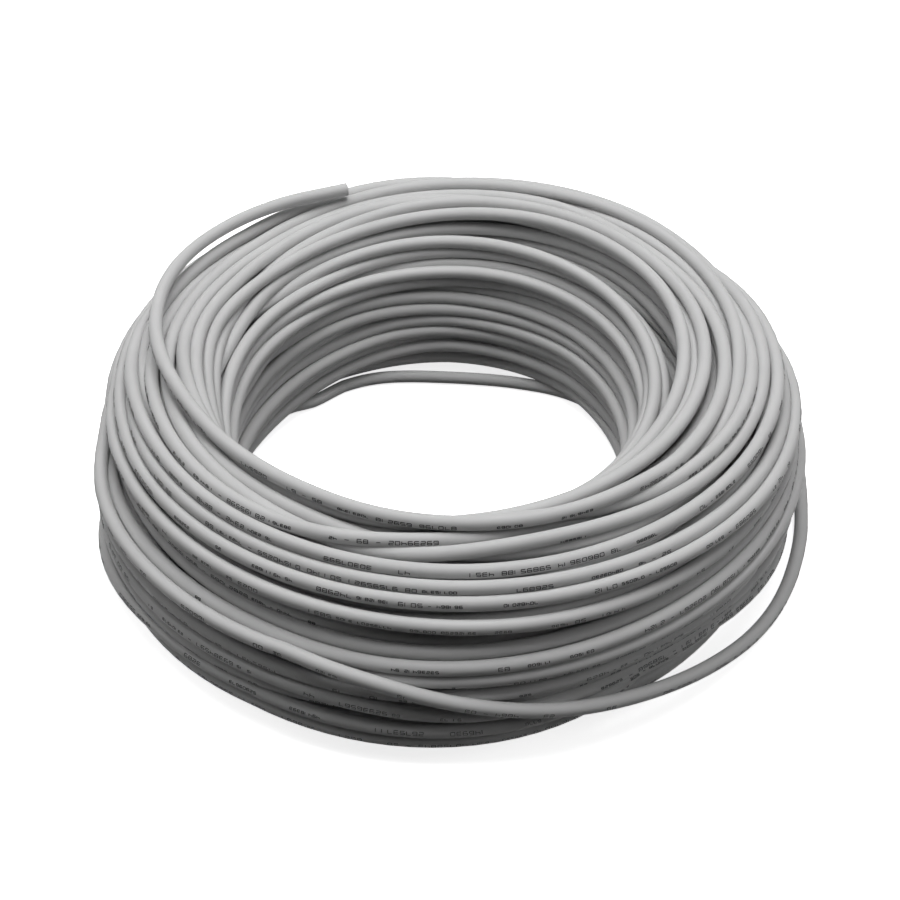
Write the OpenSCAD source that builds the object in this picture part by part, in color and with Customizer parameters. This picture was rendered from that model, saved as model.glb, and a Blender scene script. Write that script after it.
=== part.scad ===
// A ring of screened four-core data cable, wound in layers and lying flat on its foot.
// The turns of the winding are one solid with the true outline of the turns. The slack loop,
// the bowed turn in the eye and the free end are separate stretches of the same cable, and the
// free end is opened up at its cut face to show what the cable is made of.
// Angles run round the ring from +X towards +Y. All sizes are in millimetres.

/* [Cable] */
// Outer diameter of the cable
cable_d = 6.5; // [6.2:0.1:6.8]
// Thickness of the braided screen
braid_wall = 0.32; // [0.2:0.02:0.36]
// Thickness of the foil under the braid
foil_wall = 0.08; // [0.05:0.01:0.12]
// Diameter of one insulated core
core_d = 1.5; // [1.2:0.05:1.55]
// Diameter of one wire of a conductor
wire_d = 0.24; // [0.15:0.01:0.28]
// Room left between the layers of the cable
layer_gap = 0.03; // [0.01:0.01:0.05]

/* [Ring] */
// Outer diameter of the winding
ring_od = 336; // [330:1:350]
// Diameter of the open eye
ring_bore = 184; // [176:1:190]
// Height of the winding
ring_h = 94; // [88:1:100]
// How far neighbouring turns press into each other
turn_press = 0.1; // [0.05:0.01:0.15]
// Depth of the flat that the lowest turns get from lying on a floor
floor_flat = 0.1; // [0.05:0.01:0.2]
// Roundness of the crown: 2 is an ellipse, more is squarer
crown_form = 2; // [1.8:0.1:3]
// Roundness of the foot: 2 is an ellipse, more is squarer
foot_form = 6; // [5:0.5:8]

/* [Loose strands] */
// How much thinner the loose strands are drawn, so that they lie clear
strand_clear = 0.1; // [0.08:0.01:0.15]
// Angle at which the slack loop leaves its turn
slack_leaves = 50; // [45:1:60]
// Angle at which the slack loop comes back to its turn
slack_returns = -115; // [-125:1:-112]
// Angle at which the lowest inner turn starts to bow into the eye
bow_starts = 42; // [38:1:44]
// Angle at which the bowed turn is back under the ring
bow_ends = 126; // [124:1:132]
// Angle at which the last turn lifts off the crown as the free end
free_leaves = -40; // [-44:1:-30]
// Angle at which the last turn begins, under the crossing free end
last_turn_starts = 196; // [194:1:197]

/* [Cut end] */
// Straight length of cable at the cut face
tip_len = 24; // [16:1:30]
// Direction in which the cut end points
tip_heading = 20; // [18:1:23]

/* [Hidden] */
$fn = 72;

sheath_grey = [0.62, 0.62, 0.62];
tinned = [0.78, 0.79, 0.8];
foil_silver = [0.85, 0.86, 0.87];
copper = [0.8, 0.47, 0.3];
core_colours = ["white", "gold", "royalblue", "darkorange"];

// Lay of the winding: each layer sits in the grooves of the one below
turn_pitch = cable_d - turn_press;
mid_r = (ring_od + ring_bore) / 4;
half_w = (ring_od - ring_bore) / 4 - cable_d / 2;
base_z = cable_d / 2 - floor_flat;
layers = 1 + round((ring_h - cable_d) / (turn_pitch * sin(60)));
layer_pitch = (ring_h - cable_d + floor_flat) / (layers - 1);
crown_layer = layers - 2;
crown_z = base_z + (layers - 1) * layer_pitch;
round_down = 0.25;

function layer_z(k) = base_z + k * layer_pitch;
function layer_form(k) = layer_z(k) > ring_h / 2 ? crown_form : foot_form;
function layer_share(k) = abs(2 * layer_z(k) / ring_h - 1);
function layer_half(k) = half_w * pow(1 - pow(layer_share(k), layer_form(k)), 1 / layer_form(k));
function turns_in(k) =
    k % 2 + 2 * round((2 * layer_half(k) / turn_pitch + 1 - k % 2) / 2 - round_down);
function turn_r(k, j) = mid_r + (j - (turns_in(k) - 1) / 2) * turn_pitch;
// Turns at each end of a layer that the layer above or below leaves open to view
function open_beside(k, other) = ceil((turns_in(k) - turns_in(other) + 1) / 2);
function open_turns(k) = k == 0 || k == crown_layer
    ? turns_in(k)
    : max(1, open_beside(k, k + 1), open_beside(k, k - 1));
function open_end(k) = k == 0 || k == crown_layer ? 0 : turns_in(k) - open_turns(k);

inner_chain = [for (k = [0 : crown_layer]) for (j = [0 : open_turns(k) - 1])
    if (k != 0 && k != crown_layer || j == 0) [turn_r(k, j), layer_z(k)]];
outer_chain = [for (k = [crown_layer : -1 : 0]) for (j = [open_end(k) : turns_in(k) - 1])
    if (k != 0 && k != crown_layer || j == turns_in(k) - 1) [turn_r(k, j), layer_z(k)]];

// Turns that are whole only for part of the way round, as [radius, height]
slack_layer = 2 * floor(layers / 4) + 1;
slack_turn = [turn_r(slack_layer, turns_in(slack_layer)), layer_z(slack_layer)];
bowed_seat = [turn_r(0, -1), layer_z(0)];
last_turn = [mid_r - turn_pitch / 2, crown_z];

// Routes of the loose strands, with stand-offs and heights in cable diameters
// Slack loop: angle, stand-off from its turn, height as share of its turn's
slack_route = [
    [41, 0.45, 1], [30, 0.55, 0.88], [17, 0.55, 0.62], [4, 0.55, 0.32], [-7, 0.55, 0.1], [-15, 0.6, 0],
    [-24, 0.6, 0], [-31, 0.55, 0.04], [-38, 0.55, 0.12], [-45, 0.55, 0.2], [-53, 0.55, 0.29], [-61, 0.55, 0.38],
    [-69, 0.55, 0.46], [-77, 0.55, 0.55], [-85, 0.55, 0.67], [-93, 0.55, 0.8], [-101, 0.55, 0.94],
    [-108, 0.4, 1]];
// Bowed turn: angle, bow into the eye
bow_route = [[52, 0.5], [61, 1.1], [71, 1.55], [83, 1.8], [94, 1.65], [105, 1.1], [115, 0.45]];
// Free end: angle, distance from the middle as share of the half width, height over the last turn
free_route = [
    [-48, -0.1, 0.2], [-62, -0.12, 0.3], [-77, -0.17, 0.3], [-93, -0.24, 0.3], [-108, -0.3, 0.3],
    [-123, -0.35, 0.3], [-135, -0.33, 0.3], [-145, -0.28, 0.35], [-155, -0.19, 0.65], [-164, -0.08, 1.05],
    [-173, 0.04, 1.1], [178, 0.16, 0.85], [170, 0.27, 0.55], [162, 0.39, 0.35], [153, 0.48, 0.25],
    [144, 0.5, 0.2], [135, 0.47, 0.2], [127, 0.41, 0.2], [121.5, 0.35, 0.2]];

function polar(a, r, z) = [r * cos(a), r * sin(a), z];
strand_d = cable_d - 2 * strand_clear;
rest_z = cable_d / 2;
slack_points = concat(
    [polar(slack_leaves, slack_turn[0], slack_turn[1])],
    [for (p = slack_route)
        polar(p[0], slack_turn[0] + p[1] * cable_d, max(rest_z, p[2] * slack_turn[1]))],
    [polar(slack_returns, slack_turn[0], slack_turn[1])]);
bow_points = concat(
    [polar(bow_starts, bowed_seat[0], bowed_seat[1])],
    [for (p = bow_route) polar(p[0], bowed_seat[0] - p[1] * cable_d, bowed_seat[1])],
    [polar(bow_ends, bowed_seat[0], bowed_seat[1])]);
free_points = concat(
    [polar(free_leaves, last_turn[0], last_turn[1])],
    [for (p = free_route)
        polar(p[0], mid_r + p[1] * half_w, max(rest_z, crown_z + p[2] * cable_d))]);
tip_dir = polar(tip_heading, 1, 0);
tip_root = free_points[len(free_points) - 1];

// Layers of the cable from the cores outwards, as radii
core_circle_r = (core_d / 2 + layer_gap) * sqrt(2);
bundle_r = core_circle_r + core_d / 2;
foil_r = bundle_r + layer_gap + foil_wall;
braid_r = foil_r + layer_gap + braid_wall;
sheath_r = cable_d / 2;
sheath_wall = sheath_r - braid_r - layer_gap;
wire_circle_r = wire_d + layer_gap;
conductor_r = wire_circle_r + wire_d / 2 + layer_gap;
wires_round_one = 6;
filler_r = core_circle_r - core_d / 2 - layer_gap;

// Sweep of a round strand along points, with one more ring between each two points
strand_sides = 8;
// Turn of the rings that lays a flat side on the floor
flat_down = 180 / strand_sides;
full_turn = 360;
function unit(v) = v / norm(v);
// Direction along a circle round the ring's axis, towards falling angles
function round_dir(a) = [sin(a), -cos(a), 0];
function curve(p0, p1, p2, p3, t) = 0.5 * (2 * p1 + (p2 - p0) * t
    + (2 * p0 - 5 * p1 + 4 * p2 - p3) * pow(t, 2) + (3 * p1 - p0 - 3 * p2 + p3) * pow(t, 3));
function ends_added(pts, dir_in, dir_out) = let(n = len(pts)) concat(
    [pts[1] - 2 * norm(pts[1] - pts[0]) * dir_in], pts,
    [pts[n - 2] + 2 * norm(pts[n - 1] - pts[n - 2]) * dir_out]);
// No strand sinks lower than the lowest turns lie
function kept_up(p) = [p[0], p[1], max(p[2], base_z)];
function path(pts, dir_in, dir_out) = let(q = ends_added(pts, dir_in, dir_out)) concat(
    [for (i = [1 : len(q) - 3]) for (t = [0, 0.5])
        kept_up(curve(q[i - 1], q[i], q[i + 1], q[i + 2], t))],
    [pts[len(pts) - 1]]);
function heading(way, i, dir_in, dir_out) = i == 0 ? dir_in
    : i == len(way) - 1 ? dir_out : unit(way[i + 1] - way[i - 1]);
function ring_at(p, dir, d, turn) = let(side = unit(cross(dir, [0, 0, 1])), up = cross(side, dir))
    [for (s = [0 : strand_sides - 1]) let(a = turn + full_turn * s / strand_sides)
        p + d / 2 * (cos(a) * side + sin(a) * up)];

// One loose strand: pts its route, dir_in and dir_out its directions at the ends
module strand(pts, dir_in, dir_out, turn) {
    way = path(pts, dir_in, dir_out);
    last = len(way) - 1;
    points = [for (i = [0 : last]) each ring_at(way[i], heading(way, i, dir_in, dir_out), strand_d, turn)];
    sides = [for (i = [0 : last - 1]) for (s = [0 : strand_sides - 1]) let(n = (s + 1) % strand_sides)
        each [[i * strand_sides + s, i * strand_sides + n, (i + 1) * strand_sides + n],
            [i * strand_sides + s, (i + 1) * strand_sides + n, (i + 1) * strand_sides + s]]];
    first_cap = [for (s = [strand_sides - 1 : -1 : 0]) s];
    last_cap = [for (s = [0 : strand_sides - 1]) last * strand_sides + s];
    polyhedron(points, concat(sides, [first_cap, last_cap]), convexity = 10);
}

// One turn of the winding that runs only from angle a0 to angle a1
module part_turn(seat, a0, a1) {
    rotate([0, 0, a0])
        rotate_extrude(angle = a1 - a0)
            intersection() {
                translate(seat) circle(d = cable_d);
                square([ring_od, 2 * ring_h]);
            }
}

// Outline of the winding's section: open turns round a filled middle, pressed flat at the floor
module winding_section() {
    intersection() {
        union() {
            polygon(concat(inner_chain, outer_chain));
            for (k = [0 : crown_layer]) {
                for (j = [0 : turns_in(k) - 1]) {
                    if (j < open_turns(k) || j >= open_end(k))
                        translate([turn_r(k, j), layer_z(k)]) circle(d = cable_d);
                }
            }
        }
        square([ring_od, 2 * ring_h]);
    }
}

module coil() {
    color(sheath_grey) {
        rotate_extrude() winding_section();
        part_turn(slack_turn, slack_leaves, slack_returns + full_turn);
        part_turn(bowed_seat, bow_ends, bow_starts + full_turn);
        part_turn(last_turn, free_leaves, last_turn_starts);
    }
}

module slack_loop() {
    color(sheath_grey) strand(slack_points, round_dir(slack_leaves), round_dir(slack_returns), 0);
}

module bowed_turn() {
    color(sheath_grey) strand(bow_points, -round_dir(bow_starts), -round_dir(bow_ends), flat_down);
}

module free_end() {
    color(sheath_grey) strand(free_points, round_dir(free_leaves), tip_dir, 0);
}

// Places what is drawn in the cable's section at the straight cut end
module at_tip() {
    translate(tip_root) rotate([0, 0, tip_heading]) rotate([0, 90, 0])
        linear_extrude(height = tip_len) children();
}

// Places what is drawn at the middle of a core
module at_core(i) {
    rotate(45 + 90 * i) translate([core_circle_r, 0]) children();
}

module tube_section(outer_r, wall) {
    difference() {
        circle(r = outer_r);
        circle(r = outer_r - wall);
    }
}

module end_sheath() {
    color(sheath_grey) at_tip() tube_section(sheath_r, sheath_wall);
}

module braid_screen() {
    color(tinned) at_tip() tube_section(braid_r, braid_wall);
}

module foil_screen() {
    color(foil_silver) at_tip() tube_section(foil_r, foil_wall);
}

module core(i) {
    color(core_colours[i]) at_tip() at_core(i) tube_section(core_d / 2, core_d / 2 - conductor_r);
}

// Seven wires: one in the middle and six round it
module conductor(i) {
    color(copper) at_tip() at_core(i) {
        circle(d = wire_d);
        for (w = [0 : wires_round_one - 1]) {
            rotate(full_turn * w / wires_round_one) translate([wire_circle_r, 0]) circle(d = wire_d);
        }
    }
}

module core_filler() {
    color("white") at_tip() circle(r = filler_r);
}

coil();
slack_loop();
bowed_turn();
free_end();
end_sheath();
braid_screen();
foil_screen();
core(0);  // core_white
core(1);  // core_yellow
core(2);  // core_blue
core(3);  // core_orange
conductor(0);  // conductor_1
conductor(1);  // conductor_2
conductor(2);  // conductor_3
conductor(3);  // conductor_4
core_filler();
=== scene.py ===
# A ring of screened four-core data cable: about a hundred metres wound in layers, with one slack loop,
# one turn that bows into the eye and a free end that is cut off square.
# The cable runs round the ring towards falling angles, from its hidden start at the foot to the free end.
import math

import bpy
import numpy as np
from mathutils import Euler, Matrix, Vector


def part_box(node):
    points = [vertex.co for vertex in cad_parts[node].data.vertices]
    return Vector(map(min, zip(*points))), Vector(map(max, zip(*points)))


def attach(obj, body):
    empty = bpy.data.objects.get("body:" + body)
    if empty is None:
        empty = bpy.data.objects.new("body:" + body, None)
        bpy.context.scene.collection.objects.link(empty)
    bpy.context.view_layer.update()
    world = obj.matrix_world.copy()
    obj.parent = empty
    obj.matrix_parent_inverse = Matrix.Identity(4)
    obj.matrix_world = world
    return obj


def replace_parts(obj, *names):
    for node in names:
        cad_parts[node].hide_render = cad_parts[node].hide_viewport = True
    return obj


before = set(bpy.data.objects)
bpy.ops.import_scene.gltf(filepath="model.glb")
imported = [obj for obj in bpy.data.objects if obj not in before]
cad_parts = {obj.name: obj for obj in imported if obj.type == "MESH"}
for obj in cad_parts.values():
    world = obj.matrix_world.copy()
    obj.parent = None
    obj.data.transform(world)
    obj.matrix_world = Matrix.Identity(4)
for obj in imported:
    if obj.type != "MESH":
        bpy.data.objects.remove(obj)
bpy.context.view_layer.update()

MM = 0.001
SEED = 5

# Cable and ring
CABLE_D = 6.5 * MM
CABLE_R = CABLE_D / 2
CABLE_SIDES = 12
RING_OD = 336 * MM
RING_BORE = 184 * MM
RING_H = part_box("coil")[1].z
MID_R = (RING_OD + RING_BORE) / 4
HALF_W = (RING_OD - RING_BORE) / 4 - CABLE_R
REST_Z = CABLE_R
CROWN_Z = 90.75 * MM
# The eye lies a little off the middle of the ring
EYE_MID = np.array((-7, -2)) * MM

# Turns that go over into a loose strand, as radius and height
SLACK_TURN = (168.4 * MM, 52.4 * MM)
BOWED_SEAT = (94.8 * MM, REST_Z)
LAST_TURN = (126.8 * MM, CROWN_Z)

# Where the loose strands leave the ring and come back to it, in degrees
SLACK_LEAVES, SLACK_RETURNS = 50, -115
BOW_STARTS, BOW_ENDS = 42, 126
FREE_LEAVES = -40
TIP_HEADING = 20

# Routes, with stand-offs and heights in cable diameters
# Slack loop: angle, stand-off from its turn, height as share of its turn's
SLACK_ROUTE = [
    (41, 0.45, 1), (30, 0.55, 0.88), (17, 0.55, 0.62), (4, 0.55, 0.32), (-7, 0.55, 0.1), (-15, 0.6, 0),
    (-24, 0.6, 0), (-31, 0.55, 0.04), (-38, 0.55, 0.12), (-45, 0.55, 0.2), (-53, 0.55, 0.29),
    (-61, 0.55, 0.38), (-69, 0.55, 0.46), (-77, 0.55, 0.55), (-85, 0.55, 0.67), (-93, 0.55, 0.8),
    (-101, 0.55, 0.94), (-108, 0.4, 1)]
# Bowed turn: angle, bow into the eye
BOW_ROUTE = [(52, 0.5), (61, 1.1), (71, 1.55), (83, 1.8), (94, 1.65), (105, 1.1), (115, 0.45)]
# Free end: angle, distance from the middle as share of the half width, height over the last turn
FREE_ROUTE = [
    (-48, -0.1, 0.2), (-62, -0.12, 0.3), (-77, -0.17, 0.3), (-93, -0.24, 0.3), (-108, -0.3, 0.3),
    (-123, -0.35, 0.3), (-135, -0.33, 0.3), (-145, -0.28, 0.35), (-155, -0.19, 0.65), (-164, -0.08, 1.05),
    (-173, 0.04, 1.1), (178, 0.16, 0.85), (170, 0.27, 0.55), (162, 0.39, 0.35), (153, 0.48, 0.25),
    (144, 0.5, 0.2), (135, 0.47, 0.2), (127, 0.41, 0.2), (121.5, 0.35, 0.2)]

# Camera at the photograph's viewing angle
CAMERA_AT = (-0.003, -0.6272, 0.5782)
CAMERA_TILT, CAMERA_PAN, CAMERA_ROLL = 41.4, 0.29, -0.37
CAMERA_LENS, SENSOR_WIDTH = 68.6, 36


def place_camera():
    data = bpy.data.cameras.new("camera")
    data.lens = CAMERA_LENS
    data.sensor_width = SENSOR_WIDTH
    camera = bpy.data.objects.new("camera", data)
    camera.location = CAMERA_AT
    turn = Euler((math.radians(90 - CAMERA_TILT), 0, math.radians(-CAMERA_PAN)))
    roll = Euler((0, 0, math.radians(CAMERA_ROLL)))
    camera.rotation_euler = (turn.to_matrix() @ roll.to_matrix()).to_euler()
    bpy.context.scene.collection.objects.link(camera)
    bpy.context.scene.camera = camera


# Lines of the loose strands: points in each step of a route, and passes that even the line out
LINE_STEPS, LINE_PASSES = 8, 12


def polar(angle, radius, height):
    a = math.radians(angle)
    return np.array((radius * math.cos(a), radius * math.sin(a), height))


def round_dir(angle):
    """Direction along the ring towards falling angles."""
    a = math.radians(angle)
    return np.array((math.sin(a), -math.cos(a), 0))


def smooth_line(points, dir_in, dir_out):
    """A smooth curve through the points that keeps off the floor."""
    points = np.array(points)
    before = points[1] - 2 * np.linalg.norm(points[1] - points[0]) * dir_in
    after = points[-2] + 2 * np.linalg.norm(points[-1] - points[-2]) * dir_out
    q = np.vstack((before, points, after))
    line = []
    for p0, p1, p2, p3 in zip(q, q[1:], q[2:], q[3:]):
        for t in np.arange(LINE_STEPS) / LINE_STEPS:
            line.append(0.5 * (2 * p1 + (p2 - p0) * t + (2 * p0 - 5 * p1 + 4 * p2 - p3) * t ** 2
                               + (3 * p1 - p0 - 3 * p2 + p3) * t ** 3))
    line = np.vstack((line, points[-1]))
    line[:, 2] = np.maximum(line[:, 2], REST_Z)
    for n in range(LINE_PASSES):
        line[1:-1] += 0.5 * ((line[2:] + line[:-2]) / 2 - line[1:-1])
    return line


def slack_line():
    radius, height = SLACK_TURN
    points = [polar(a, radius + off * CABLE_D, max(REST_Z, share * height)) for a, off, share in SLACK_ROUTE]
    points = [polar(SLACK_LEAVES, *SLACK_TURN), *points, polar(SLACK_RETURNS, *SLACK_TURN)]
    return smooth_line(points, round_dir(SLACK_LEAVES), round_dir(SLACK_RETURNS))


def bowed_line():
    radius, height = BOWED_SEAT
    points = [polar(a, radius - bow * CABLE_D, height) for a, bow in BOW_ROUTE]
    points = [polar(BOW_STARTS, *BOWED_SEAT), *points, polar(BOW_ENDS, *BOWED_SEAT)]
    return smooth_line(points, -round_dir(BOW_STARTS), -round_dir(BOW_ENDS))[::-1]


def free_line():
    points = [polar(a, MID_R + share * HALF_W, max(REST_Z, CROWN_Z + up * CABLE_D))
              for a, share, up in FREE_ROUTE]
    points = [polar(FREE_LEAVES, *LAST_TURN), *points]
    return smooth_line(points, round_dir(FREE_LEAVES), polar(TIP_HEADING, 1, 0))


# The winding: every turn is followed through slices round the ring and settled against its neighbours
SLICES = 120
STEP = 360 / SLICES
LAYERS = 15
TURN_SPACING = 8.6 * MM
CROWN_FORM, FOOT_FORM = 2, 8
MID_Z = RING_H / 2
# Settling: all its passes, the last ones that only even the bends out, the part that counts as early,
# and the gap between turns in cable diameters, which widens from loose to tight
SETTLING, EVENING, EARLY = 260, 8, 0.6
LOOSEST, TIGHTEST, GAP_GROWTH = 0.45, 0.97, 1.1
# In each pass: share of the push, of the early pull to the seat and of the bend that is taken out,
# and the slices over which a push is spread, early and late
PUSH, PULL, EASE = 1.2, 0.02, 0.5
SPREAD_EARLY, SPREAD_LATE = 17, 9
# Slices over which the winding goes over into a loose strand and out of it, and the room that it gets there
BLENDS = {"bowed": (8, 24), "slack": (40, 22), "free": (40, 1)}
BLEND_ROOM = 8 * MM
# Part of the first turn over which the cable's start comes out of the winding
START_HIDDEN = 0.48, 0.66
START_DEPTH = 11 * MM, 4 * MM

# Where the ring departs from a true ring: angle, millimetres
# Outer and inner turns pushed outwards from the section, lowest turns standing in, crown lying lower
OUTER_SWELL = [
    (-172, -2), (-160, 2), (-150, 3), (-90, 3), (-40, 2), (0, 2), (15, 0), (30, -6), (48, 6), (60, 6),
    (75, 4), (90, 2), (115, -1), (140, 2), (155, 4), (168, 2), (180, -3)]
INNER_SWELL = [
    (-180, 1), (-150, -6), (-120, -5), (-90, -3), (-60, 1), (-20, 4), (10, 4), (45, 2), (70, 4), (90, 3),
    (110, 4), (125, 5), (140, 5), (160, 3)]
FOOT_INSET = [
    (-180, -5), (-165, -11), (-150, -10), (-140, -7), (-120, -6), (-95, -11), (-80, -12), (-70, -4),
    (-60, 9), (-45, 9), (-30, 0), (-15, -3), (0, 0), (30, 1), (90, 0), (140, 0)]
CROWN_DIP = [(-170, 0), (176, 2), (165, 6), (150, 8), (135, 8), (120, 6), (110, 4), (100, 1), (90, 0)]
# Slow wander of the cable from its seat: period in turns, size in millimetres
WANDER = [(0.47, 0.6), (0.83, 2), (1.37, 3), (2.3, 2.6), (4.1, 2.6)]
# The upper turns lie off centre to the back right, the lower ones to the front left
UPPER_SHIFT = np.array((5, 12)) * MM
# Some turns stand proud and others keep behind the ring's surface: how far, and over what part of a turn
BEHIND = 9 * MM
BEHIND_RUN = 0.7


def around(table):
    """Sizes of a table at each slice round the ring."""
    angles, sizes = zip(*table)
    return np.interp(-STEP * np.arange(SLICES), angles, sizes, period=360) * MM


def seats():
    """Radius from the middle and height of every turn, layer by layer, to and fro."""
    made = []
    for k in range(LAYERS):
        z = REST_Z + k * (CROWN_Z - REST_Z) / (LAYERS - 1)
        form = CROWN_FORM if z > MID_Z else FOOT_FORM
        half = HALF_W * (1 - abs(z / MID_Z - 1) ** form) ** (1 / form)
        count = 1 + round(2 * half / TURN_SPACING)
        row = np.linspace(-half, half, count)
        made += [(u, z) for u in (row if k % 2 == 0 else row[::-1])]
    made[0] = (BOWED_SEAT[0] - MID_R, BOWED_SEAT[1])
    slack_seat = (HALF_W, SLACK_TURN[1])
    slack_no = min(range(len(made)), key=lambda i: math.dist(made[i], slack_seat))
    made[slack_no] = slack_seat
    made[-1] = (LAST_TURN[0] - MID_R, LAST_TURN[1])
    return np.array(made), slack_no


def in_slices(line, turns):
    """First slice that a line passes, and its radius from the middle and height at each slice.
    turns is how often the cable has gone round the ring where the line starts."""
    run = 360 * turns - np.degrees(np.unwrap(np.arctan2(line[:, 1], line[:, 0])))
    radius = np.hypot(line[:, 0], line[:, 1]) - MID_R
    first = math.ceil(run[0] / STEP)
    at = np.arange(first, math.floor(run[-1] / STEP) + 1)
    return first, np.stack((np.interp(at * STEP, run, radius), np.interp(at * STEP, run, line[:, 2])), 1)


def kept_inside(seat, inner, outer, inset, above):
    """Brings what stands outside the ring's section back to its edge."""
    u, z = seat.T
    high = z > MID_Z
    foot = np.clip(1 - z / MID_Z, 0, 1)
    half = np.where(u > 0, outer - foot * inset, inner)
    form = np.where(high, CROWN_FORM, FOOT_FORM)
    reach = (np.abs(u) / half) ** form + (np.abs(z - MID_Z) / np.where(high, above, MID_Z)) ** form
    keep = np.maximum(reach, 1) ** (-1 / form)
    z = MID_Z + (z - MID_Z) * keep
    return np.stack((u * keep, np.clip(z, REST_Z, MID_Z + above - CABLE_R)), 1)


def pushed_apart(seat, held, gap):
    """How far each point moves so that the turns in its slice lie a gap apart."""
    rows = math.ceil(len(seat) / SLICES)
    spare = rows * SLICES - len(seat)
    far = np.stack((1 + np.arange(spare), np.zeros(spare)), 1)
    grid = np.vstack((seat, far)).reshape(rows, SLICES, 2).transpose(2, 1, 0).astype(np.float32)
    fixed = np.append(held, np.ones(spare, bool)).reshape(rows, SLICES).T
    away = grid[:, :, :, None] - grid[:, :, None]
    apart = np.sqrt(away[0] ** 2 + away[1] ** 2) + np.float32(1e-7)
    push = np.clip(gap - apart, 0, None) / apart
    push *= np.where(fixed, 1, 0.5).astype(np.float32)[:, None]
    moved = np.stack([(push * side).sum(2).T.ravel()[:len(seat)] for side in away], 1)
    return moved.astype(float)


def spread_along(shift, width):
    """Evens a shift out along the cable, so that the cable bends gently."""
    weights = np.hanning(width + 2)[1:-1]
    weights /= weights.sum()
    return np.stack([np.convolve(column, weights, "same") for column in shift.T], 1)


def wind(slack, bowed, free):
    """The whole winding: radius from the middle and height at each slice that the cable passes."""
    rng = np.random.default_rng(SEED)
    seat_list, slack_no = seats()
    loose = {
        "bowed": in_slices(bowed, 1),
        "slack": in_slices(slack, slack_no),
        "free": in_slices(free, len(seat_list) - 1)}
    count = loose["free"][0] + len(loose["free"][1])
    turn = np.arange(count) / SLICES
    slice_no = np.arange(count) % SLICES

    # Near the loose strands the cable follows them, and fades into the winding
    near = np.zeros(count)
    strand = np.zeros((count, 2))
    for name, (first, line) in loose.items():
        last = first + len(line)
        blend_in, blend_out = BLENDS[name]
        before = np.arange(max(0, first - blend_in), first)
        after = np.arange(last, min(count, last + blend_out))
        near[first:last] = 1
        strand[first:last] = line
        near[before] = (1 + np.cos(np.pi * (first - before) / (blend_in + 1))) / 2
        strand[before] = line[0]
        near[after] = (1 + np.cos(np.pi * (after + 1 - last) / (blend_out + 1))) / 2
        strand[after] = line[-1]
    held = near == 1

    east, south = np.cos(2 * np.pi * turn), np.sin(2 * np.pi * turn)
    eye_off = EYE_MID[0] * east - EYE_MID[1] * south
    runs = np.arange(0, turn[-1] + BEHIND_RUN, BEHIND_RUN)
    behind = np.interp(turn, runs, BEHIND * rng.random(len(runs)) ** 2) * (1 - near)
    inner = HALF_W - eye_off + around(INNER_SWELL)[slice_no] + BLEND_ROOM * near - behind
    outer = HALF_W + around(OUTER_SWELL)[slice_no] + BLEND_ROOM * near - behind
    inset = around(FOOT_INSET)[slice_no] * (1 - near)
    above = MID_Z - around(CROWN_DIP)[slice_no] * (1 - near) - behind

    number = np.arange(len(seat_list))
    target = np.stack([np.interp(turn, number, column) for column in seat_list.T], 1)
    for period, size in WANDER:
        target += size * MM * np.sin(2 * np.pi * turn[:, None] / period + rng.uniform(0, 2 * np.pi, 2))
    lean = np.clip(target[:, 1] / MID_Z - 1, -1, 1)
    target[:, 0] *= np.where(target[:, 0] > 0, outer, inner) / HALF_W
    target[:, 0] += lean * (UPPER_SHIFT[0] * east - UPPER_SHIFT[1] * south)
    over_mid = target[:, 1] - MID_Z
    target[:, 1] = MID_Z + np.maximum(0, over_mid) * above / MID_Z + np.minimum(0, over_mid)
    target += np.interp(turn, START_HIDDEN, (1, 0))[:, None] * START_DEPTH

    seat = target.copy()
    for n in range(SETTLING):
        done = n / SETTLING
        early = done < EARLY
        gap = CABLE_D * min(TIGHTEST, LOOSEST + GAP_GROWTH * done)
        seat += near[:, None] ** 2 * (strand - seat)
        if n < SETTLING - EVENING:
            width = SPREAD_EARLY if early else SPREAD_LATE
            seat += PUSH * spread_along(pushed_apart(seat, held, gap), width)
        if early:
            seat += PULL * (target - seat)
        bend = np.zeros_like(seat)
        bend[1:-1] = (seat[2:] + seat[:-2]) / 2 - seat[1:-1]
        seat += EASE * bend
        seat = kept_inside(seat, inner, outer, inset, above)
    seat[held] = strand[held]
    return seat, loose


# Tools for materials and node trees
def colour(code):
    """An sRGB hex value as linear red, green, blue and alpha."""
    parts = [int(code[i:i + 2], 16) / 255 for i in (1, 3, 5)]
    return [c / 12.92 if c <= 0.04045 else ((c + 0.055) / 1.055) ** 2.4 for c in parts] + [1]


def add(tree, kind, inputs=None, **settings):
    """Adds a node with its settings. Inputs go by their identifiers, and are linked or set."""
    made = tree.nodes.new(kind)
    for name, value in settings.items():
        setattr(made, name, value)
    sockets = {socket.identifier: socket for socket in made.inputs}
    for name, value in (inputs or {}).items():
        if isinstance(value, bpy.types.NodeSocket):
            tree.links.new(value, sockets[name])
        else:
            sockets[name].default_value = value
    return made


def new_material(name):
    material = bpy.data.materials.new(name)
    material.use_nodes = True
    material.node_tree.nodes.clear()
    return material, material.node_tree


def pattern_scale(feature):
    """Scale of a noise whose features are this far apart."""
    return 1 / feature


# Soft PVC sheath, extruded: an even, half-matt grey skin with a fine grain from the die and faint clouding
SHEATH_DARK, SHEATH_LIGHT = "#b9b9b9", "#c3c3c3"


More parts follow.
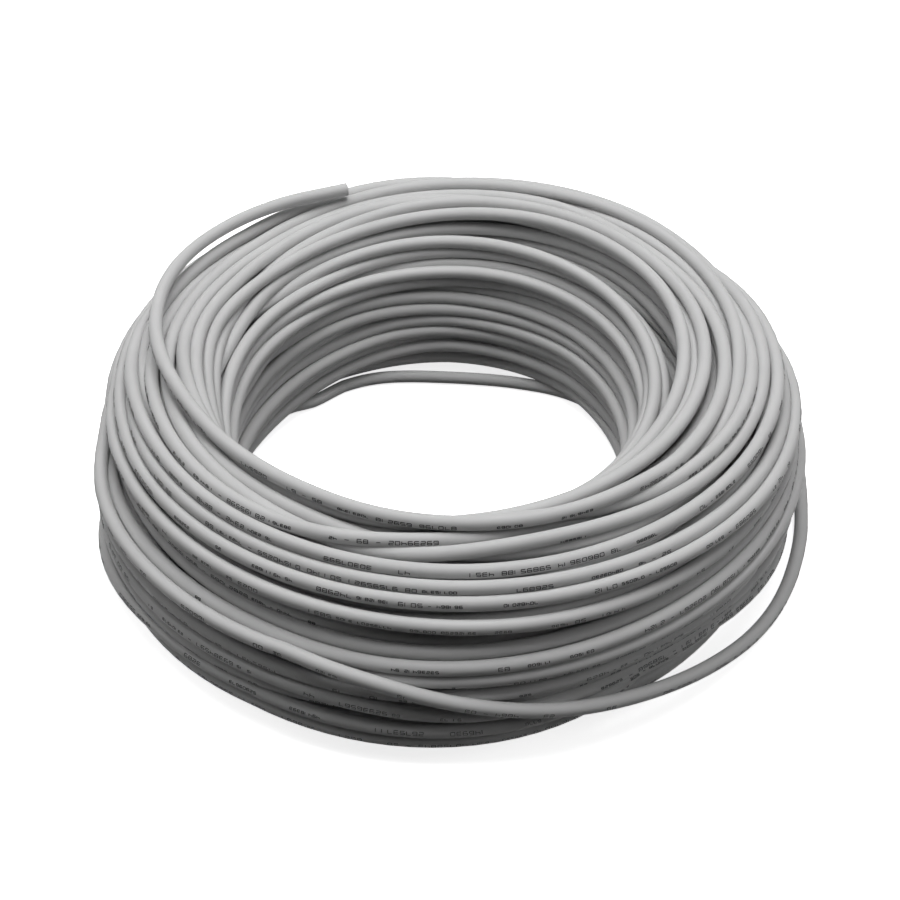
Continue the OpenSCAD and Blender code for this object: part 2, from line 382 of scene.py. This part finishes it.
def pvc_sheath():
    material, tree = new_material("soft_pvc_sheath")
    place = add(tree, "ShaderNodeTexCoord").outputs["Object"]
    clouds = add(tree, "ShaderNodeTexNoise", {
        "Vector": place, "Scale": pattern_scale(28 * MM), "Detail": 3})
    tint = add(tree, "ShaderNodeMix", {
        "Factor_Float": clouds.outputs[0], "A_Color": colour(SHEATH_DARK), "B_Color": colour(SHEATH_LIGHT)},
        data_type="RGBA")
    grain = add(tree, "ShaderNodeTexNoise", {
        "Vector": place, "Scale": pattern_scale(0.7 * MM), "Detail": 2})
    matt = add(tree, "ShaderNodeMapRange", {
        "Value": grain.outputs[0], "To Min": 0.46, "To Max": 0.58})
    bump = add(tree, "ShaderNodeBump", {
        "Strength": 0.25, "Distance": 0.03 * MM, "Height": grain.outputs[0]})
    shader = add(tree, "ShaderNodeBsdfPrincipled", {
        "Base Color": tint.outputs[2], "Roughness": matt.outputs[0], "IOR": 1.53,
        "Specular IOR Level": 0.12, "Normal": bump.outputs[0]})
    add(tree, "ShaderNodeOutputMaterial", {"Surface": shader.outputs[0]})
    return material


def speckled(name, low, high, feature, roughness, metallic=0.0, ior=1.5, bump_depth=0.02 * MM):
    """A material with a fine speckle between two shades, and a bump of the same speckle."""
    material, tree = new_material(name)
    place = add(tree, "ShaderNodeTexCoord").outputs["Object"]
    noise = add(tree, "ShaderNodeTexNoise", {
        "Vector": place, "Scale": pattern_scale(feature), "Detail": 2})
    tint = add(tree, "ShaderNodeMix", {
        "Factor_Float": noise.outputs[0], "A_Color": colour(low), "B_Color": colour(high)},
        data_type="RGBA")
    matt = add(tree, "ShaderNodeMapRange", {
        "Value": noise.outputs[0], "To Min": roughness - 0.06, "To Max": roughness + 0.06})
    bump = add(tree, "ShaderNodeBump", {
        "Strength": 0.3, "Distance": bump_depth, "Height": noise.outputs[0]})
    shader = add(tree, "ShaderNodeBsdfPrincipled", {
        "Base Color": tint.outputs[2], "Roughness": matt.outputs[0], "IOR": ior,
        "Metallic": metallic, "Normal": bump.outputs[0]})
    add(tree, "ShaderNodeOutputMaterial", {"Surface": shader.outputs[0]})
    return material


# Ink-jet print: thin black ink that lets a little of the sheath through, half matt
def printing_ink():
    return speckled("ink_jet_print", "#101010", "#2c2c2c", 0.5 * MM, 0.6)


# What the cut end shows: drawn copper wires in extruded polyethylene, round a filler cord, with crinkled
# aluminium foil and a braid of tinned wires round them
def tip_materials(sheath_material):
    copper = speckled("drawn_bare_copper", "#b4714c", "#d08c62", 0.25 * MM, 0.34, metallic=1)
    made = {"end_sheath": sheath_material}
    for shade, low, high in (
            ("white", "#e2e2de", "#eeeeea"), ("yellow", "#d9a916", "#e6ba2a"),
            ("blue", "#1c4fa3", "#2a60b8"), ("orange", "#d8661a", "#e6772a")):
        made["core_" + shade] = speckled("polyethylene_" + shade, low, high, 0.4 * MM, 0.42, ior=1.51)
    for n in range(4):
        made["conductor_" + str(n + 1)] = copper
    made["core_filler"] = speckled("polypropylene_filler", "#d6d6d2", "#e6e6e2", 0.3 * MM, 0.6, ior=1.49)
    made["foil_screen"] = speckled("aluminium_foil", "#c4c6c8", "#e2e4e6", 0.6 * MM, 0.28, metallic=1,
                                   bump_depth=0.06 * MM)
    made["braid_screen"] = speckled("tinned_copper_braid", "#9a9a98", "#cfcfcc", 0.3 * MM, 0.38, metallic=1,
                                    bump_depth=0.08 * MM)
    return made


# Tubes: a round cable swept along its line
def new_tree(name, inputs):
    """A node tree with named inputs, as (name, socket type), and one geometry output."""
    tree = bpy.data.node_groups.new(name, "GeometryNodeTree")
    tree.interface.new_socket("Geometry", in_out="INPUT", socket_type="NodeSocketGeometry")
    for label, kind in inputs:
        tree.interface.new_socket(label, in_out="INPUT", socket_type=kind)
    tree.interface.new_socket("Geometry", in_out="OUTPUT", socket_type="NodeSocketGeometry")
    return tree, add(tree, "NodeGroupInput").outputs


def close_tree(tree, geometry, material):
    """Ends a tree in plain geometry with its material set."""
    real = add(tree, "GeometryNodeRealizeInstances", {"Geometry": geometry})
    smooth = add(tree, "GeometryNodeSetShadeSmooth", {"Geometry": real.outputs[0]})
    painted = add(tree, "GeometryNodeSetMaterial", {"Geometry": smooth.outputs[0], "Material": material})
    out = add(tree, "NodeGroupOutput")
    tree.links.new(painted.outputs[0], out.inputs[0])


def cable_tree():
    tree, given = new_tree("round_cable", [
        ("Diameter", "NodeSocketFloat"), ("Sides", "NodeSocketInt"), ("Material", "NodeSocketMaterial")])
    half = add(tree, "ShaderNodeMath", {"Value": given["Diameter"], "Value_001": 0.5}, operation="MULTIPLY")
    ring = add(tree, "GeometryNodeCurvePrimitiveCircle", {
        "Resolution": given["Sides"], "Radius": half.outputs[0]})
    tube = add(tree, "GeometryNodeCurveToMesh", {
        "Curve": given["Geometry"], "Profile Curve": ring.outputs[0], "Fill Caps": True})
    close_tree(tree, tube.outputs[0], given["Material"])
    return tree


def made_mesh(name, source, tree, values):
    """Runs a tree on an object and keeps the result as a plain mesh piece."""
    modifier = source.modifiers.new(tree.name, "NODES")
    modifier.node_group = tree
    for item in tree.interface.items_tree:
        if item.in_out == "INPUT" and item.name in values:
            modifier[item.identifier] = values[item.name]
    graph = bpy.context.evaluated_depsgraph_get()
    graph.update()
    mesh = bpy.data.meshes.new_from_object(source.evaluated_get(graph), depsgraph=graph)
    source.modifiers.remove(modifier)
    bpy.data.objects.remove(source)
    mesh.name = name
    piece = bpy.data.objects.new(name, mesh)
    bpy.context.scene.collection.objects.link(piece)
    return piece


def curve_object(line):
    """A curve that runs straight from point to point of a line."""
    data = bpy.data.curves.new("line", "CURVE")
    data.dimensions = "3D"
    data.twist_mode = "Z_UP"
    spline = data.splines.new("POLY")
    spline.points.add(len(line) - 1)
    spline.points.foreach_set("co", np.hstack((line, np.ones((len(line), 1)))).ravel())
    made = bpy.data.objects.new("line", data)
    bpy.context.scene.collection.objects.link(made)
    return made


def cable_piece(name, line, material, tree):
    piece = made_mesh(name, curve_object(line), tree, {
        "Diameter": CABLE_D, "Sides": CABLE_SIDES, "Material": material})
    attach(piece, "root")
    return piece


def in_space(seat, first=0):
    """Points of a settled stretch of the winding, from its first slice's number."""
    a = -np.radians(STEP * (first + np.arange(len(seat))))
    r = MID_R + seat[:, 0]
    return np.stack((r * np.cos(a), r * np.sin(a), seat[:, 1]), 1)


# Print along the sheath: groups of plain numbers and dashes in strokes of ink
STROKES = {
    "0": "abcdef", "1": "bc", "2": "abged", "3": "abgcd", "4": "fgbc", "5": "afgcd", "6": "afgedc",
    "7": "abc", "8": "abcdefg", "9": "abcdfg", "-": "g"}
# Each stroke's middle in shares of the sign's width and height, and whether it runs across the sign
STROKE_AT = {
    "a": (0.5, 0.5, True), "b": (1, 0.25, False), "c": (1, -0.25, False), "d": (0.5, -0.5, True),
    "e": (0, -0.25, False), "f": (0, 0.25, False), "g": (0.5, 0, True)}
SIGN_HEIGHTS = 1.1 * MM, 1.6 * MM
# Pitch and width of a sign and length of an upright stroke, as shares of the sign's height
SIGN_PITCH, SIGN_WIDTH, UPRIGHT = 1.6, 1.1, 0.55
INK_WIDTH = 0.36 * MM
INK_LIFT = 0.05 * MM
# The printed side faces outwards and rolls slowly up and down: degrees, and period in turns
PRINT_ROLL, PRINT_PERIOD = 22, 3.7


def exposed(seat, roll):
    """Whether the printed side of the cable shows, at each slice of the winding."""
    rows = math.ceil(len(seat) / SLICES)
    spare = rows * SLICES - len(seat)
    grid = np.vstack((seat, np.full((spare, 2), -9))).reshape(rows, SLICES, 2).transpose(1, 0, 2)
    side = np.append(roll, np.zeros(spare)).reshape(rows, SLICES).T[:, :, None]
    away = grid[:, None] - grid[:, :, None]
    ahead = away[..., 0] * np.cos(side) + away[..., 1] * np.sin(side)
    aside = np.abs(away[..., 0] * np.sin(side) - away[..., 1] * np.cos(side))
    hidden = ((ahead > CABLE_R) & (aside < CABLE_R)).any(2)
    return ~hidden.T.ravel()[:len(seat)]


def sign_strokes(length, rng):
    """Strokes of the print on a stretch: how far along and how far up they lie, size, across or not."""
    made = []
    at = 0
    while at < length:
        height = rng.choice(SIGN_HEIGHTS)
        word = "".join(rng.choice(list("0123456789"), rng.choice((2, 4, 6, 8))))
        for sign in word + rng.choice((" ", " - ", "    ", "         ")):
            for name in STROKES.get(sign, ""):
                x, y, across = STROKE_AT[name]
                size = (SIGN_WIDTH if across else UPRIGHT) * height
                made.append((at + x * SIGN_WIDTH * height, y * height, size, across))
            at += SIGN_PITCH * height
    return np.array(made).T


def printed(line, roll, shows, rng):
    """Place, long direction, outward direction and size of the strokes on a stretch of cable."""
    run = np.append(0, np.cumsum(np.linalg.norm(np.diff(line, axis=0), axis=1)))
    on, up, size, across = sign_strokes(run[-1], rng)
    kept = np.interp(on, run, shows) > 0.99
    on, up, size, across = on[kept], up[kept], size[kept], across[kept] > 0

    def along(values):
        return np.stack([np.interp(on, run, column) for column in values.T], 1)

    def unit(values):
        return values / np.linalg.norm(values, axis=1)[:, None]

    middle = along(line)
    ahead = unit(along(np.gradient(line, axis=0)))
    outward = middle * (1, 1, 0)
    outward = unit(outward - (outward * ahead).sum(1)[:, None] * ahead)
    lift = np.cross(ahead, outward)
    turn = (np.interp(on, run, roll) - up / CABLE_R)[:, None]
    facing = np.cos(turn) * outward + np.sin(turn) * lift
    place = middle + (CABLE_R + INK_LIFT) * facing
    long_way = np.where(across[:, None], ahead, np.cross(facing, ahead))
    return place, long_way, facing, np.stack((size, np.full_like(size, INK_WIDTH), np.ones_like(size)), 1)


def print_tree():
    tree, given = new_tree("ink_print", [("Material", "NodeSocketMaterial")])
    stroke = add(tree, "GeometryNodeMeshGrid", {"Size X": 1, "Size Y": 1, "Vertices X": 2, "Vertices Y": 2})
    long_way, facing, size = [
        add(tree, "GeometryNodeInputNamedAttribute", {"Name": name}, data_type="FLOAT_VECTOR").outputs[0]
        for name in ("long_way", "facing", "size")]
    turn = add(tree, "FunctionNodeAxesToRotation", {"Primary Axis": facing, "Secondary Axis": long_way},
               primary_axis="Z", secondary_axis="X")
    strokes = add(tree, "GeometryNodeInstanceOnPoints", {
        "Points": given["Geometry"], "Instance": stroke.outputs[0],
        "Rotation": turn.outputs[0], "Scale": size})
    close_tree(tree, strokes.outputs[0], given["Material"])
    return tree


def print_piece(name, stretches, material):
    place, long_way, facing, size = [np.vstack(part) for part in zip(*stretches)]
    mesh = bpy.data.meshes.new(name)
    mesh.from_pydata(place.tolist(), [], [])
    for label, values in (("long_way", long_way), ("facing", facing), ("size", size)):
        mesh.attributes.new(label, "FLOAT_VECTOR", "POINT").data.foreach_set("vector", values.ravel())
    points = bpy.data.objects.new(name, mesh)
    bpy.context.scene.collection.objects.link(points)
    piece = made_mesh(name, points, print_tree(), {"Material": material})
    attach(piece, "root")
    return piece


# Floor and light
FLOOR_HALF = 4
FLOOR_GLOW = 0.8
FLOOR_BOUNCE = "#202020"
WORLD_LEVEL = 0.03
# Softboxes: name, place, side of the square, watts
LAMPS = [
    ("top_softbox", (0, 0.2, 1.5), 1.2, 23),
    ("right_softbox", (1.2, -0.4, 1), 0.7, 4),
    ("left_softbox", (-1.2, 0, 1), 0.7, 3.5)]


def seen_rays(tree):
    """One for rays that show a thing to the camera, straight, mirrored or through glass."""
    rays = add(tree, "ShaderNodeLightPath").outputs
    seen = add(tree, "ShaderNodeMath", {"Value": rays["Is Camera Ray"], "Value_001": rays["Is Glossy Ray"]},
               operation="MAXIMUM")
    seen = add(tree, "ShaderNodeMath", {"Value": seen.outputs[0], "Value_001": rays["Is Transmission Ray"]},
               operation="MAXIMUM")
    return seen.outputs[0]


def stage_floor():
    mesh = bpy.data.meshes.new("floor")
    s = FLOOR_HALF
    mesh.from_pydata([(-s, -s, 0), (s, -s, 0), (s, s, 0), (-s, s, 0)], [], [(0, 1, 2, 3)])
    floor = bpy.data.objects.new("floor", mesh)
    bpy.context.scene.collection.objects.link(floor)
    material, tree = new_material("white_paper_floor")
    seen = seen_rays(tree)
    paper = add(tree, "ShaderNodeBsdfDiffuse", {"Color": colour("#ffffff")})
    glow = add(tree, "ShaderNodeEmission", {"Color": colour("#ffffff"), "Strength": FLOOR_GLOW})
    bright = add(tree, "ShaderNodeAddShader", {"Shader": paper.outputs[0], "Shader_001": glow.outputs[0]})
    dull = add(tree, "ShaderNodeBsdfDiffuse", {"Color": colour(FLOOR_BOUNCE)})
    both = add(tree, "ShaderNodeMixShader", {
        "Fac": seen, "Shader": dull.outputs[0], "Shader_001": bright.outputs[0]})
    add(tree, "ShaderNodeOutputMaterial", {"Surface": both.outputs[0]})
    mesh.materials.append(material)


def stage_light():
    world = bpy.data.worlds.new("studio")
    bpy.context.scene.world = world
    world.use_nodes = True
    tree = world.node_tree
    tree.nodes.clear()
    seen = seen_rays(tree)
    level = add(tree, "ShaderNodeMapRange", {"Value": seen, "To Min": WORLD_LEVEL, "To Max": 1})
    sky = add(tree, "ShaderNodeBackground", {"Color": colour("#ffffff"), "Strength": level.outputs[0]})
    add(tree, "ShaderNodeOutputWorld", {"Surface": sky.outputs[0]})
    for name, place, size, power in LAMPS:
        data = bpy.data.lights.new(name, "AREA")
        data.size = size
        data.energy = power
        lamp = bpy.data.objects.new(name, data)
        lamp.location = place
        lamp.rotation_euler = Vector(place).to_track_quat("Z", "Y").to_euler()
        bpy.context.scene.collection.objects.link(lamp)


# Making
place_camera()
sheath = pvc_sheath()
round_cable = cable_tree()
slack, bowed, free = slack_line(), bowed_line(), free_line()
seat, loose = wind(slack, bowed, free)

bow_first, bow_seats = loose["bowed"]
slack_first, slack_seats = loose["slack"]
bow_last = bow_first + len(bow_seats)
slack_last = slack_first + len(slack_seats)
free_first = loose["free"][0]
half_way = (bow_last + slack_first) // 2
winding = {
    "winding_start": np.vstack((in_space(seat[:bow_first]), bowed[:1])),
    "winding_foot": np.vstack((bowed[-1:], in_space(seat[bow_last:half_way + 1], bow_last))),
    "winding_body": np.vstack((in_space(seat[half_way:slack_first], half_way), slack[:1])),
    "winding_crown": np.vstack((slack[-1:], in_space(seat[slack_last:free_first], slack_last), free[:1]))}
for name, line in winding.items():
    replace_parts(cable_piece(name, line, sheath, round_cable), "coil")

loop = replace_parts(cable_piece("slack_stretch", slack, sheath, round_cable), "slack_loop")
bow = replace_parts(cable_piece("bowed_stretch", bowed, sheath, round_cable), "bowed_turn")
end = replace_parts(cable_piece("free_stretch", free, sheath, round_cable), "free_end")

rng = np.random.default_rng(SEED)
turn = np.arange(len(seat)) / SLICES
roll = np.radians(PRINT_ROLL * np.sin(2 * np.pi * turn / PRINT_PERIOD))
shows = exposed(seat, roll)
stretches = [
    printed(in_space(seat[a:b], a), roll[a:b], shows[a:b], rng)
    for a, b in ((0, bow_first), (bow_last, slack_first), (slack_last, free_first))]
for line in (slack, free):
    stretches.append(printed(line, np.full(len(line), roll[0]), np.ones(len(line)), rng))
print_piece("sheath_print", stretches, printing_ink())

for node_name, material in tip_materials(sheath).items():
    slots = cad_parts[node_name].data.materials
    slots.clear()
    slots.append(material)

stage_floor()
stage_light()
bpy.context.scene.view_settings.view_transform = "Standard"
